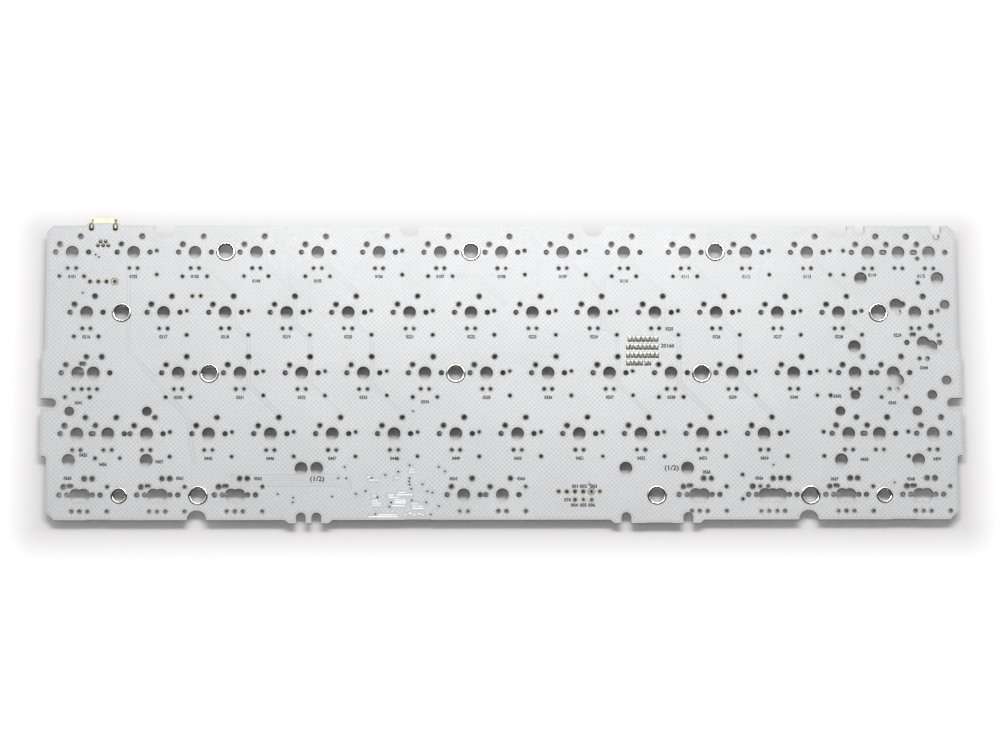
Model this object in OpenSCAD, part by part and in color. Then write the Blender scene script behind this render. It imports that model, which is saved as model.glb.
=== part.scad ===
// Bare circuit board of a 60 per cent keyboard, component side down. Millimetres.
// Plan positions are taken from the corner of the key field nearest the USB socket's end:
// x runs along the key rows, y runs from the number row to the space row.

/* [Key grid] */
// Pitch of the keys, one key unit
u = 19.05; // [19:0.01:19.1]
// Bore of a switch's middle post
post_bore = 4.0; // [3.9:0.05:4.1]
// Bore of a switch's side pegs
peg_bore = 1.7; // [1.6:0.05:1.8]
// Distance of a side peg from the middle post
peg_offset = 5.08; // [5.0:0.01:5.2]
// Bore of a switch pin
pin_bore = 1.5; // [1.4:0.05:1.6]
// Near pin, sideways from the middle post
pin1_x = 3.81; // [3.7:0.01:3.9]
// Near pin, up from the middle post
pin1_y = 2.54; // [2.4:0.01:2.6]
// Far pin, sideways from the middle post
pin2_x = 2.54; // [2.4:0.01:2.6]
// Far pin, up from the middle post
pin2_y = 5.08; // [5.0:0.01:5.2]
// Bore of a lamp leg
led_bore = 1.0; // [0.9:0.05:1.1]
// Lamp leg, sideways from the middle post
led_x = 1.27; // [1.2:0.01:1.35]
// Lamp legs, down from the middle post
led_y = 5.08; // [5.0:0.01:5.2]
// Bore of a diode leg
diode_bore = 1.0; // [0.9:0.05:1.1]
// Span between a diode's legs
diode_span = 7.62; // [7.4:0.01:7.8]
// Width of the squeezed pin slots where two switch places overlap
slot_pin_w = 1.0; // [0.9:0.05:1.1]
// Length of those pin slots
slot_pin_l = 1.8; // [1.7:0.05:1.9]

/* [Board] */
// Thickness of the laminate
board_t = 1.6; // [1.0:0.1:2.0]
// Left edge, inside the key field
inset_left = 0.6; // [0.4:0.05:0.8]
// Right edge, inside the key field
inset_right = 0.15; // [0.1:0.05:0.3]
// Rear edge, inside the key field
inset_rear = 1.0; // [0.8:0.05:1.2]
// Front edge, inside the key field
inset_front = 1.75; // [1.6:0.05:1.9]
// Step in of both sides beside the number rows
step_rear = 1.0; // [0.8:0.05:1.2]
// Where that step ends, in key units from the rear
step_rear_u = 2.1; // [2.05:0.01:2.15]
// Slant of that step
step_slant = 1.2; // [0.8:0.1:1.6]
// Step in of both sides beside the space row
step_front = 2.0; // [1.8:0.05:2.2]
// Where that step starts, in key units from the rear
step_front_u = 3.86; // [3.82:0.01:3.9]
// Cutter radius left in the inner corner of that step
mill_r = 1.1; // [0.9:0.1:1.2]
// Rounding of the outer corner of that step
step_round = 0.8; // [0.6:0.1:1.0]
// Chamfer of the rear corners
chamfer_rear = 2.1; // [1.6:0.1:2.4]
// Chamfer of the front corners
chamfer_front = 2.75; // [2.2:0.1:3.0]

/* [Edge cut-outs] */
// Radius of the bites in the rear edge
bite_r = 3.1; // [2.8:0.05:3.3]
// How far a rear bite's centre lies inside the edge
bite_sink = 0.5; // [0.3:0.05:0.7]
// Radius of the bites in the front edge
front_bite_r = 3.0; // [2.8:0.05:3.2]
// Front bites, from the middle of the board, in key units
front_bite_u = 4.94; // [4.92:0.01:4.96]
// Width of the screw slots in the sides
side_slot_w = 3.1; // [2.9:0.05:3.3]
// Length of the screw slots
side_slot_l = 4.75; // [4.5:0.05:5.0]
// How far the front tongues stand out
tongue_out = 1.05; // [0.9:0.05:1.2]
// Slant of the tongues' ends
tongue_slant = 1.2; // [1.0:0.05:1.4]
// Board left beside the outer stabiliser notches of a tongue
tongue_side = 3.7; // [3.4:0.1:4.0]
// How far the USB tongue stands out of the rear edge
usb_tongue_out = 0.9; // [0.7:0.05:1.0]
// Width of the USB tongue
usb_tongue_w = 9.2; // [9.0:0.1:9.6]
// Bore of the snap-off holes that the edges were broken through
snap_bore = 0.5; // [0.4:0.05:0.6]
// Pitch of the snap-off holes
snap_pitch = 0.8; // [0.75:0.01:0.85]

/* [Stabiliser holes] */
// Bore of the large stabiliser holes
stab_bore = 4.0; // [3.9:0.05:4.1]
// Bore of the small stabiliser holes
stab_snap = 3.05; // [2.95:0.05:3.15]
// Large holes, from the key's middle
stab_y = 8.255; // [8.2:0.005:8.3]
// Small holes, from the key's middle
stab_snap_y = 6.985; // [6.9:0.005:7.1]
// Reach of a short stabiliser
stab_x = 11.938; // [11.9:0.002:12]
// Reach of the shorter space bar's stabiliser
stab_bar_x = 50.0; // [49.8:0.05:50.2]
// Reach of the longer space bar's stabiliser
stab_long_bar_x = 57.15; // [57:0.05:57.3]

/* [Case mount holes] */
// Bore of a large case mount hole
mount_bore = 5.0; // [4.8:0.05:5.1]
// Bore of a small case mount hole
mount_bore_small = 4.1; // [3.9:0.05:4.2]
// Width of the tinned land round a mount hole
mount_land = 0.5; // [0.4:0.05:0.55]
// Height of the tin above the board
tin_h = 0.12; // [0.08:0.01:0.2]
// Wall of the plating in a mount hole
plating = 0.08; // [0.05:0.01:0.1]
// Outer mount holes, from the left edge
mount_left = 24.5; // [24.2:0.1:24.8]
// Outer mount holes, from the right edge
mount_right = 25.5; // [25.2:0.1:25.8]
// Front outer mount hole, from the right edge
mount_right_front = 24.8; // [24.5:0.1:25.1]
// Rear row of mount holes, below the first keys' middles
mount_rear_drop = -0.3; // [-0.5:0.05:0]
// Outer pair of mount holes, from the second row's middle
mount_pair_drop = 0; // [-0.3:0.05:0.3]
// Middle row of mount holes, from the third row's middle
mount_mid_drop = 0.1; // [-0.3:0.05:0.3]
// Front row of mount holes, from the fifth row's middle
mount_front_drop = 0.1; // [-0.3:0.05:0.3]

/* [Lands] */
// Width of the land round a switch pin
pin_land = 0.3; // [0.2:0.05:0.35]
// Width of the land round a lamp, diode or header hole
leg_land = 0.28; // [0.2:0.02:0.32]
// Thickness of a land
land_t = 0.06; // [0.04:0.01:0.1]
// Bore of a header hole
header_bore = 0.95; // [0.85:0.05:1.05]
// Pitch of the header holes
header_pitch = 2.54; // [2.5:0.01:2.6]
// Bore of a via
via_bore = 0.6; // [0.4:0.05:0.7]

/* [USB socket] */
// Middle of the socket, in key units from the left
usb_u = 1.0; // [0.98:0.01:1.02]
// Width of the shell
usb_w = 7.7; // [7.5:0.05:7.8]
// Height of the shell, which the board rests on
usb_h = 3.9; // [3.8:0.05:4.1]
// Length of the shell
usb_l = 9.2; // [9.0:0.1:9.6]
// Sheet of the shell
usb_sheet = 0.3; // [0.25:0.01:0.35]
// How far the shell stands out past the board
usb_overhang = 1.7; // [1.5:0.05:1.9]
// Width of the shell where it narrows by the board
usb_neck_w = 6.4; // [6.2:0.05:6.6]
// Height of the wide part of the shell
usb_wide_h = 2.3; // [2.1:0.05:2.5]
// Height of the slant to the narrow part
usb_taper_h = 0.6; // [0.4:0.05:0.8]
// Shell legs, from the end of the USB tongue
usb_leg_y = 1.4; // [1.35:0.05:1.45]
// Width of a shell leg
usb_leg_w = 1.2; // [1.0:0.05:1.3]
// Slot for a shell leg, wider than the leg all round
usb_leg_gap = 0.4; // [0.3:0.05:0.45]
// Rounding of the shell's wide corners
usb_round = 0.8; // [0.6:0.05:1.0]
// Play of the plastic insert in the shell
insert_play = 0.05; // [0.03:0.01:0.08]
// Pitch of the contacts
contact_pitch = 0.8; // [0.78:0.01:0.82]
// Width of a contact
contact_w = 0.35; // [0.3:0.01:0.4]
// Thickness of a contact
contact_t = 0.2; // [0.15:0.01:0.25]
// Near row of contact pins, from the end of the USB tongue
contact_row_near = 6.0; // [5.9:0.05:6.1]
// Step to the far row of contact pins
contact_stagger = 1.25; // [1.2:0.05:1.3]
// Bore of a contact pin hole
contact_bore = 0.7; // [0.65:0.05:0.8]
// Thickness of the tongue in the mouth
insert_tongue_t = 0.9; // [0.8:0.05:1.0]
// Width of the tongue in the mouth
insert_tongue_w = 4.2; // [4.0:0.05:4.4]
// Tongue set back from the mouth
insert_back = 0.5; // [0.4:0.05:0.8]
// Length of the block behind the tongue
insert_block_l = 3.4; // [3.2:0.05:3.6]
// Length of a contact on the tongue
contact_l = 4.2; // [4.0:0.05:4.4]
// Pins and legs above the board
pin_proud = 0.3; // [0.25:0.05:0.35]
// Solder dome above the board
solder_h = 0.5; // [0.45:0.05:0.6]
// Solder beyond its hole
solder_land = 0.28; // [0.2:0.02:0.32]

/* [Controller] */
// Body of the controller, along each side
mcu_w = 10.0; // [9.8:0.1:10.2]
// Thickness of the body
mcu_t = 1.0; // [0.9:0.05:1.2]
// Body above its seat
mcu_gap = 0.1; // [0.08:0.01:0.15]
// Slant of the body's sides
mcu_draft = 0.12; // [0.08:0.01:0.2]
// Corner cut that marks pin 1
mcu_corner = 0.8; // [0.6:0.1:1.0]
// Pitch of the leads
mcu_pitch = 0.8; // [0.78:0.01:0.82]
// Width of a lead
mcu_lead_w = 0.37; // [0.3:0.01:0.45]
// Thickness of a lead
mcu_lead_t = 0.15; // [0.12:0.01:0.2]
// Tip of a lead, from the body
mcu_reach = 1.0; // [0.9:0.05:1.1]
// Foot of a lead
mcu_foot = 0.5; // [0.4:0.05:0.6]
// Controller, in key units from the left
mcu_u = 5.66; // [5.64:0.01:5.68]
// Controller, in key units from the rear
mcu_v = 4.36; // [4.34:0.01:4.38]

/* [Crystal and chip parts] */
// Length of the crystal
xtal_l = 5.0; // [4.8:0.1:5.2]
// Width of the crystal
xtal_w = 3.2; // [3.0:0.1:3.4]
// Height of its ceramic tray
xtal_h = 0.8; // [0.7:0.05:1.0]
// Height of its lid
xtal_lid_h = 0.3; // [0.2:0.05:0.4]
// Border of the tray round the lid
xtal_rim = 0.25; // [0.2:0.05:0.35]
// Length of a small chip part
chip_l = 1.6; // [1.5:0.05:1.7]
// Width of a small chip part
chip_w = 0.8; // [0.7:0.05:0.9]
// Height of a small chip part
chip_h = 0.7; // [0.5:0.05:0.8]
// Length of a chip part's metal end
chip_end = 0.35; // [0.25:0.05:0.4]
// Length of the fuse
fuse_l = 3.2; // [3.0:0.1:3.4]
// Width of the fuse
fuse_w = 1.6; // [1.5:0.05:1.7]
// Height of the fuse
fuse_h = 0.8; // [0.6:0.05:1.0]

/* [Hidden] */
$fn = 48;

cols = 15;
rows = 5;
far = 60;
x0 = inset_left;
x1 = cols * u - inset_right;
y0 = inset_rear;
y1 = rows * u - inset_front;
// A 750th of a key unit, a thousandth of an inch: the small parts were laid out on it.
mil = u / 750;
xm = (x0 + x1) / 2;
ym = ((y0 - usb_tongue_out - usb_overhang) + (y1 + tongue_out)) / 2;
usb_x = usb_u * u;
usb_edge = y0 - usb_tongue_out;
z0 = usb_h;
z1 = usb_h + board_t;

function row(r) = (r - 0.5) * u;

// Switch places of the rows, in key units: each inner list is one place, or several that overlap.
row1 = [for (i = [0:13]) [0.5 + i]];
row1_more = [[14], [14.5]];
row2 = concat([[0.75]], [for (i = [2:13]) [i]], [[14.25]]);
row3 = concat([[0.625], [0.875]], [for (i = [0:11]) [2.25 + i]], [[13.875]]);
row4 = concat([[0.625], [1.125], [1.75]], [for (i = [2:11]) [0.75 + i]], [[13.125], [13.625], [14.5]]);
row5 = [[0.625, 0.75], [1.875, 2], [3.125, 3.25], [6.875], [7.5], [10.625, 10.75],
        [11.75, 11.875, 12], [13, 13.125], [14.25, 14.375]];
keys = [concat(row1, row1_more), row2, row3, row4, row5];
enter_u = 14.375;
enter_v = 2;

// Diodes that stand beside their switch, [key units, row], and those that lie across below it.
stand = concat(
    [for (k = [1.5, 5.5, 7.5, 8.5, 11.5, 12.5]) [k, 1]],
    [for (i = [2:13]) [i, 2]], [[14.25, 2]],
    [for (k = [3.25, 4.25, 5.25, 7.25, 8.25, 9.25, 11.25, 12.25]) [k, 3]],
    [for (i = [1:11]) [0.75 + i, 4]]);
stand_left = [[13.5, 1], [13.25, 3], [13.125, 4], [14.5, 4]];
stand_low = [for (k = [0.75, 2, 3.25, 7.5, 10.75, 13.125, 14.375]) k];
lie = concat(
    [for (k = [0.5, 2.5, 3.5, 4.5, 6.5, 9.5, 10.5]) [k, 1]], [[0.75, 2]],
    [for (k = [0.625, 2.25, 6.25, 10.25, 13.875]) [k, 3]], [[1.125, 4]]);
stand_x = 283.5 * mil;
stand_y = 20 * mil;
low_y = -100 * mil;
lie_y = 300 * mil;
lone_diode = [8542.5 * mil, 3131.5 * mil];

// Case mount holes, large then small.
mounts_rear = [3, 7, 11];
mounts_mid = [2.75, 6.75, 10.75];
mounts_front = [2.59, 10, 12.49];

// Holes of the two headers and the pair of lead holes behind them.
head4 = [598.5 * mil, 742 * mil];
pair = [1848.5 * mil, 921.5 * mil];
isp = [6305 * mil, 3336.5 * mil];

module frame() translate([-xm, ym, 0]) mirror([0, 1, 0]) children();
module up_face() frame() translate([0, 0, z1]) children();
module under() frame() translate([0, 0, z0]) mirror([0, 0, 1]) children();

module oblong(l, w) {
    for (s = [-1, 1]) translate([s * (l - w) / 2, 0]) circle(d = w);
    square([l - w, w], center = true);
}

// One call of children() for every switch place.
module each_place() for (r = [1:rows]) for (g = keys[r - 1]) for (k = g) translate([k * u, row(r)]) children();

module place_bores() {
    circle(d = post_bore);
    for (s = [-1, 1]) translate([s * peg_offset, 0]) circle(d = peg_bore);
}

// Pins: every place keeps its far pin; where places overlap, the later near pins are squeezed.
module pin_holes(grow) {
    for (r = [1:rows]) for (g = keys[r - 1]) for (i = [0:len(g) - 1]) translate([g[i] * u, row(r)]) {
        translate([pin2_x, -pin2_y]) circle(d = pin_bore + 2 * grow);
        if (i == 0 && !(r == 3 && g[0] == 0.875)) translate([-pin1_x, -pin1_y]) circle(d = pin_bore + 2 * grow);
    }
    translate([enter_u * u, enter_v * u]) translate([pin2_x, -pin2_y]) circle(d = pin_bore + 2 * grow);
}

module squeezed_pins(grow) {
    for (g = row5) for (i = [0:len(g) - 1]) if (i > 0) translate([g[i] * u - pin1_x, row(5) - pin1_y])
        if (len(g) == 2) translate([-14 * mil, -10 * mil]) oblong(slot_pin_l + 2 * grow, slot_pin_w + 2 * grow);
        else circle(d = slot_pin_w + 2 * grow);
    translate([0.875 * u - pin1_x + 17 * mil, row(3) - pin1_y - 15 * mil]) oblong(slot_pin_l + 2 * grow, slot_pin_w + 2 * grow);
    translate([enter_u * u - pin1_x + 25 * mil, enter_v * u - pin1_y]) oblong(slot_pin_l + 2 * grow, slot_pin_w + 2 * grow);
}

// Lamp legs: overlapping places share the legs between them.
module led_holes(grow) {
    for (r = [1:rows]) for (g = keys[r - 1]) translate([0, row(r) + led_y]) {
        translate([g[0] * u - led_x, 0]) circle(d = led_bore + 2 * grow);
        translate([g[len(g) - 1] * u + led_x, 0]) circle(d = led_bore + 2 * grow);
        if (len(g) > 1) for (i = [1:len(g) - 1]) translate([(g[i] + g[i - 1]) * u / 2, 0]) circle(d = led_bore + 2 * grow);
    }
    for (s = [-1, 1]) translate([enter_u * u + s * led_x, enter_v * u + led_y]) circle(d = led_bore + 2 * grow);
}

module diode_pair(vertical, grow) for (s = [0, 1])
    translate(vertical ? [0, s * diode_span] : [(s - 0.5) * diode_span, 0]) circle(d = diode_bore + 2 * grow);

module diode_holes(grow) {
    for (k = stand) translate([k[0] * u + stand_x, row(k[1]) - stand_y]) diode_pair(true, grow);
    for (k = stand_left) translate([k[0] * u - stand_x - 20 * mil, row(k[1]) - stand_y]) diode_pair(true, grow);
    for (k = stand_low) translate([k * u + stand_x, row(5) + low_y]) diode_pair(true, grow);
    for (k = lie) translate([k[0] * u, row(k[1]) + lie_y]) diode_pair(false, grow);
    translate([14.5 * u - 142 * mil, row(1) + 79 * mil]) diode_pair(true, grow);
    translate(lone_diode) diode_pair(true, grow);
}

module header_holes(grow) {
    for (i = [0:3]) translate([head4[0] + i * header_pitch, head4[1]]) circle(d = header_bore + 2 * grow);
    for (i = [0, 1]) translate([pair[0] + i * header_pitch, pair[1]]) circle(d = header_bore + 2 * grow);
    for (i = [0:5]) translate([isp[0] + i * header_pitch, isp[1]]) circle(d = header_bore + 2 * grow);
    for (i = [2:4]) translate([isp[0] + i * header_pitch, isp[1] + header_pitch]) circle(d = header_bore + 2 * grow);
}

module mount_holes_large() {
    for (k = mounts_rear) translate([k * u, row(1) + mount_rear_drop]) children();
    for (k = mounts_mid) translate([k * u, row(3) + mount_mid_drop]) children();
    for (k = mounts_front) translate([k * u, row(5) + mount_front_drop]) children();
    for (x = [x0 + mount_left, x1 - mount_right]) translate([x, row(2) + mount_pair_drop]) children();
}
module mount_holes_small() for (x = [x0 + mount_left, x1 - mount_right_front]) translate([x, row(5) + mount_front_drop]) children();

module stab_pair(flip, reach) for (s = [-1, 1]) {
    translate([s * reach, flip * stab_y]) circle(d = stab_bore);
    translate([s * reach, -flip * stab_snap_y]) circle(d = stab_snap);
}

// Open stabiliser notches at the rear (backspace) and front (space bars).
short_bar = 6.875 * u;
long_bar = 7.5 * u;
open_front = [short_bar - stab_bar_x, long_bar - stab_long_bar_x, short_bar + stab_bar_x, long_bar + stab_long_bar_x];
module stab_holes() {
    translate([1.125 * u, row(4)]) stab_pair(1, stab_x);
    translate([13.625 * u, row(4)]) stab_pair(1, stab_x);
    translate([13.875 * u, row(3)]) stab_pair(-1, stab_x);
    translate([enter_u * u, enter_v * u]) rotate(90) stab_pair(1, stab_x);
    translate([14 * u, row(1)]) for (s = [-1, 1]) {
        translate([s * stab_x, stab_y]) circle(d = stab_bore);
        translate([s * stab_x, -stab_snap_y]) { circle(d = stab_snap); translate([-stab_snap / 2, -far]) square([stab_snap, far]); }
    }
    for (x = open_front) {
        translate([x, row(5) - stab_y]) circle(d = stab_bore);
        translate([x, row(5) + stab_snap_y]) { circle(d = stab_snap); translate([-stab_snap / 2, 0]) square([stab_snap, far]); }
    }
}

module via_holes() {
    near = [[-531, -236], [-610, -98], [-512, -98], [-203, -98], [-39, -138], [118, -177], [118, -335], [256, -256],
            [256, -98], [250, -59], [256, -20], [276, 31], [413, -24], [472, 63], [531, 79], [283, 173], [457, 197],
            [31, 197], [12, 250], [-134, 134], [-276, 59], [-394, 94], [-681, 126], [-157, 339], [512, 346],
            [610, 244], [685, -181], [610, -236]];
    for (p = near) translate([mcu_u * u, mcu_v * u] + p * mil) circle(d = via_bore);
    lone = [[2906, 3366], [3094, 3409], [3087, 3465], [661, 406], [701, 437], [512, 882], [6681, 3248],
              [10390, 3228], [8921, 3012], [4543, 2350]];
    for (p = lone) translate(p * mil) circle(d = via_bore);
}

function tongue(xa, xb) = [[xb + tongue_side + tongue_slant, y1], [xb + tongue_side, y1 + tongue_out],
                           [xa - tongue_side, y1 + tongue_out], [xa - tongue_side - tongue_slant, y1]];

// The whole edge in one line, clockwise from the rear left corner.
module edge() {
    xa = x0 + step_rear; xb = x1 - step_rear;
    xc = x0 + step_front; xd = x1 - step_front;
    ya = step_rear_u * u; yb = step_front_u * u;
    polygon(concat(
        [[xa, y0 + chamfer_rear], [xa + chamfer_rear, y0],
         [usb_x - usb_tongue_w / 2 - usb_tongue_out, y0], [usb_x - usb_tongue_w / 2, usb_edge],
         [usb_x + usb_tongue_w / 2, usb_edge], [usb_x + usb_tongue_w / 2 + usb_tongue_out, y0],
         [xb - chamfer_rear, y0], [xb, y0 + chamfer_rear], [xb, ya], [x1, ya + step_slant], [x1, yb], [xd + mill_r, yb], [xd, yb + mill_r], [xd, y1 - chamfer_front], [xd - chamfer_front, y1]],
        tongue(open_front[2], open_front[3]),
        tongue(open_front[0], open_front[1]),
        [[xc + chamfer_front, y1], [xc, y1 - chamfer_front], [xc, yb + mill_r], [xc - mill_r, yb], [x0, yb],
         [x0, ya + step_slant], [xa, ya]]));
}

// The cutter's round in the inner corners of the front step, and its round on the outer ones.
module step_rounds() {
    for (s = [[x0, 1], [x1, -1]]) translate([s[0], step_front_u * u]) mirror([s[1] < 0 ? 1 : 0, 0])
        { translate([step_front - mill_r, mill_r]) circle(r = mill_r); translate([step_round, -step_round]) mirror([1, 0]) corner_cut(step_round); }
}

// Rows of snap-off holes, [key units from the left, holes, 1 where the edge is a tongue's].
snap_rear = [[0.37, 8], [4.42, 10], [9.88, 11], [14.02, 9]];
snap_front = [[1, 10, 0], [6.14, 10, 0], [10.03, 10, 1], [14, 10, 0]];
module snap_row(n) for (i = [0:n - 1]) translate([(i - (n - 1) / 2) * snap_pitch, 0]) circle(d = snap_bore);
module snap_rows() {
    for (k = snap_rear) translate([k[0] * u, y0]) snap_row(k[1]);
    for (k = snap_front) translate([k[0] * u, y1 + k[2] * tongue_out]) snap_row(k[1]);
}

module outline() difference() {
    edge();
    step_rounds();
    snap_rows();
    for (k = [2, 6, 9, 13]) translate([k * u, y0 + bite_sink]) { circle(r = bite_r); translate([-bite_r, -far]) square([2 * bite_r, far]); }
    for (s = [-1, 1]) translate([xm + s * front_bite_u * u, y1]) { circle(r = front_bite_r); translate([-front_bite_r, 0]) square([2 * front_bite_r, far]); }
    for (s = [[x0, 1], [x1, -1]]) translate([s[0], 3 * u]) mirror([s[1] < 0 ? 1 : 0, 0])
        { translate([side_slot_l - side_slot_w / 2, 0]) circle(d = side_slot_w); translate([-far, -side_slot_w / 2]) square([far + side_slot_l - side_slot_w / 2, side_slot_w]); }
}

module all_bores() {
    each_place() place_bores();
    translate([enter_u * u, enter_v * u]) place_bores();
    stab_holes();
    pin_holes(0);
    squeezed_pins(0);
    led_holes(0);
    diode_holes(0);
    header_holes(0);
    via_holes();
}

module usb_bores() {
    for (s = [-1, 1]) translate([usb_x + s * (usb_w - usb_sheet) / 2, usb_edge + usb_leg_y]) rotate(90) oblong(usb_leg_w + 2 * usb_leg_gap, usb_sheet + 2 * usb_leg_gap);
    each_contact() circle(d = contact_bore);
}

module each_contact() for (i = [-2:2]) translate([usb_x + i * contact_pitch, usb_edge + contact_row_near + ((i % 2 == 0) ? contact_stagger : 0)]) children();

module board() color("whitesmoke") frame() translate([0, 0, z0]) linear_extrude(height = board_t) difference() {
    outline();
    all_bores();
    usb_bores();
    mount_holes_large() circle(d = mount_bore + 2 * plating);
    mount_holes_small() circle(d = mount_bore_small + 2 * plating);
}

// Tinned ring of a mount hole: plating through the hole and a domed land on each face.
module mount_ring(bore) rotate_extrude() {
    translate([bore / 2, z0]) square([plating, board_t]);
    for (s = [0, 1]) translate([bore / 2, s ? z1 : z0]) mirror([0, s ? 0 : 1])
        intersection() {
            square([mount_land + plating, tin_h]);
            translate([(mount_land + plating) / 2, tin_h - dome_r(mount_land + plating, tin_h)]) circle(r = dome_r(mount_land + plating, tin_h));
        }
}
function dome_r(w, h) = (w * w / 4 + h * h) / (2 * h);

module mount_rings() color("silver") frame() {
    mount_holes_large() mount_ring(mount_bore);
    mount_holes_small() mount_ring(mount_bore_small);
}

module land(t = land_t) for (z = [z1, z0 - t]) translate([0, 0, z]) linear_extrude(height = t) children();

module switch_lands() color("silver") frame() land() difference() {
    union() { pin_holes(pin_land); squeezed_pins(pin_land); }
    all_bores();
}
module led_lands() color("silver") frame() land() difference() { led_holes(leg_land); all_bores(); }
module diode_lands() color("silver") frame() land() difference() { diode_holes(leg_land); all_bores(); }
module header_lands() color("gold") frame() land() difference() { header_holes(leg_land); all_bores(); }

// The USB socket, in plan x, y and a z that runs down from the underside of the board.
usb_mouth = usb_edge - usb_overhang;
usb_rear = usb_mouth + usb_l;
leg_x = (usb_w - usb_sheet) / 2;
slot_l = usb_leg_w + 2 * usb_leg_gap;
slot_w = usb_sheet + 2 * usb_leg_gap;

module corner_cut(r) difference() { translate([0, 0]) square([r + 1, r + 1]); circle(r = r); }

// Section of the shell, drawn s inside its outer face: wide away from the board, narrow beside it.
module usb_section(s) {
    n = usb_neck_w / 2 - s; w = usb_w / 2 - s; r = usb_round - s; h = usb_h - s;
    k = usb_h - usb_wide_h - usb_taper_h + 0.4 * s;
    difference() {
        polygon([[-n, s], [n, s], [n, k], [w, k + usb_taper_h], [w, h], [-w, h], [-w, k + usb_taper_h], [-n, k]]);
        for (m = [0, 1]) mirror([m, 0]) translate([w - r, h - r]) corner_cut(r);
    }
}
module along_y(ya, yb) translate([usb_x, yb, 0]) rotate([90, 0, 0]) linear_extrude(height = yb - ya) children();

module usb_shell() color("lightgrey") under() difference() {
    union() {
        along_y(usb_mouth, usb_rear) difference() { usb_section(0); usb_section(usb_sheet); }
        for (s = [-1, 1]) translate([usb_x + s * leg_x - usb_sheet / 2, usb_edge + usb_leg_y - usb_leg_w / 2, -board_t - pin_proud])
            cube([usb_sheet, usb_leg_w, usb_h - usb_wide_h + 0.6 + board_t + pin_proud]);
    }
    // Window over the contact pins.
    translate([usb_x - window_w / 2, usb_rear - window_l, -1]) cube([window_w, window_l + 1, 1 + usb_sheet + 0.01]);
    // Slits round the two springs of the wide face.
    for (s = [-1, 1]) for (t = [-1, 1]) translate([usb_x + s * spring_x + t * (spring_w + slit) / 2 - slit / 2, usb_mouth + spring_start, usb_h - usb_sheet - 0.2])
        cube([slit, spring_l, usb_sheet + 1]);
    for (s = [-1, 1]) translate([usb_x + s * spring_x - spring_w / 2 - slit, usb_mouth + spring_start, usb_h - usb_sheet - 0.2]) cube([spring_w + 2 * slit, slit, usb_sheet + 1]);
}
window_w = 4 * contact_pitch + contact_w + 1.2;
window_l = insert_block_l;
spring_x = 1.9;
spring_w = 1.1;
spring_l = 3.2;
spring_start = 1.6;
slit = 0.25;

tongue_z = usb_h / 2 + 0.1;
strip_z = tongue_z - insert_tongue_t / 2;
module contact_shape(i) {
    py = usb_edge + contact_row_near + ((i % 2 == 0) ? contact_stagger : 0);
    ya = usb_rear - insert_block_l - contact_l;
    translate([usb_x + i * contact_pitch - contact_w / 2, ya, strip_z - contact_t]) cube([contact_w, py + contact_w / 2 - ya, contact_t]);
    translate([usb_x + i * contact_pitch - contact_w / 2, py - contact_w / 2, -board_t - pin_proud]) cube([contact_w, contact_w, strip_z + board_t + pin_proud]);
}
module usb_contacts() color("gold") under() for (i = [-2:2]) contact_shape(i);
module usb_insert() color("dimgrey") under() difference() {
    union() {
        along_y(usb_rear - insert_block_l, usb_rear) usb_section(usb_sheet + insert_play);
        translate([usb_x - insert_tongue_w / 2, usb_mouth + insert_back, strip_z]) cube([insert_tongue_w, usb_l - insert_block_l - insert_back + 0.5, insert_tongue_t]);
    }
    for (i = [-2:2]) contact_shape(i);
}

// Domed solder over a round hole, and over a slot, filling the hole round what comes through it.
module cap_profile(w, h) intersection() { translate([0, 0]) square([w / 2, h]); translate([0, h - dome_r(w, h)]) circle(r = dome_r(w, h)); }
module dome(w, h) rotate_extrude() cap_profile(w, h);
module half_dome(w, h) rotate_extrude(angle = 180) cap_profile(w, h);
module slot_dome(l, w, h) {
    for (m = [0, 1]) mirror([0, m, 0]) translate([0, (l - w) / 2, 0]) half_dome(w, h);
    translate([0, (l - w) / 2, 0]) rotate([90, 0, 0]) linear_extrude(height = l - w) { cap_profile(w, h); mirror([1, 0]) cap_profile(w, h); }
}
module usb_solder() color("darkkhaki") difference() {
    frame() {
        each_contact() {
            translate([0, 0, z0]) cylinder(d = contact_bore, h = board_t);
            translate([0, 0, z1]) dome(contact_bore + 2 * solder_land, solder_h);
        }
        for (s = [-1, 1]) translate([usb_x + s * leg_x, usb_edge + usb_leg_y, 0]) {
            translate([0, 0, z0]) linear_extrude(height = board_t) rotate(90) oblong(slot_l, slot_w);
            translate([0, 0, z1]) slot_dome(slot_l + 2 * solder_land, slot_w + 2 * solder_land, solder_h);
        }
    }
    under() {
        for (i = [-2:2]) contact_shape(i);
        for (s = [-1, 1]) translate([usb_x + s * leg_x - usb_sheet / 2, usb_edge + usb_leg_y - usb_leg_w / 2, -board_t - pin_proud])
            cube([usb_sheet, usb_leg_w, board_t + pin_proud + 1]);
    }
}

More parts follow.
